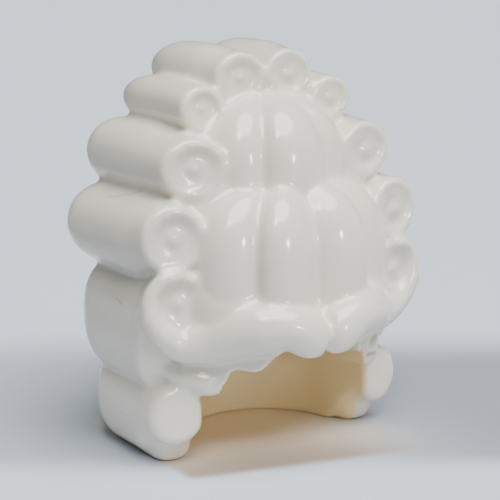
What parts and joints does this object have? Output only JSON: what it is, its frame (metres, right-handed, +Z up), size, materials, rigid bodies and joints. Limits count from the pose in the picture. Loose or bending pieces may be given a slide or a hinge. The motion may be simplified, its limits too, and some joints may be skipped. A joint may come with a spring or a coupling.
{
  "type": "powdered wig for a toy figure",
  "caption": "One-piece moulded plastic powdered wig for a small toy figure: rolled side curls, puffed front and swept front locks round an open head cavity.",
  "frame": {"origin": "on the ground under the middle of the wig's outline, in the plane of the lower rim that it stands on", "axes": "+Z up towards the crown, -Y towards the front where the face opening is, +X towards the wearer's left"},
  "size_m": [0.0198, 0.0162, 0.024],
  "materials": {
    "wig_plastic": "glossy moulded, warm off-white"
  },
  "bodies": {
    "root": {"wig": "wig_plastic"}
  },
  "joints": []
}
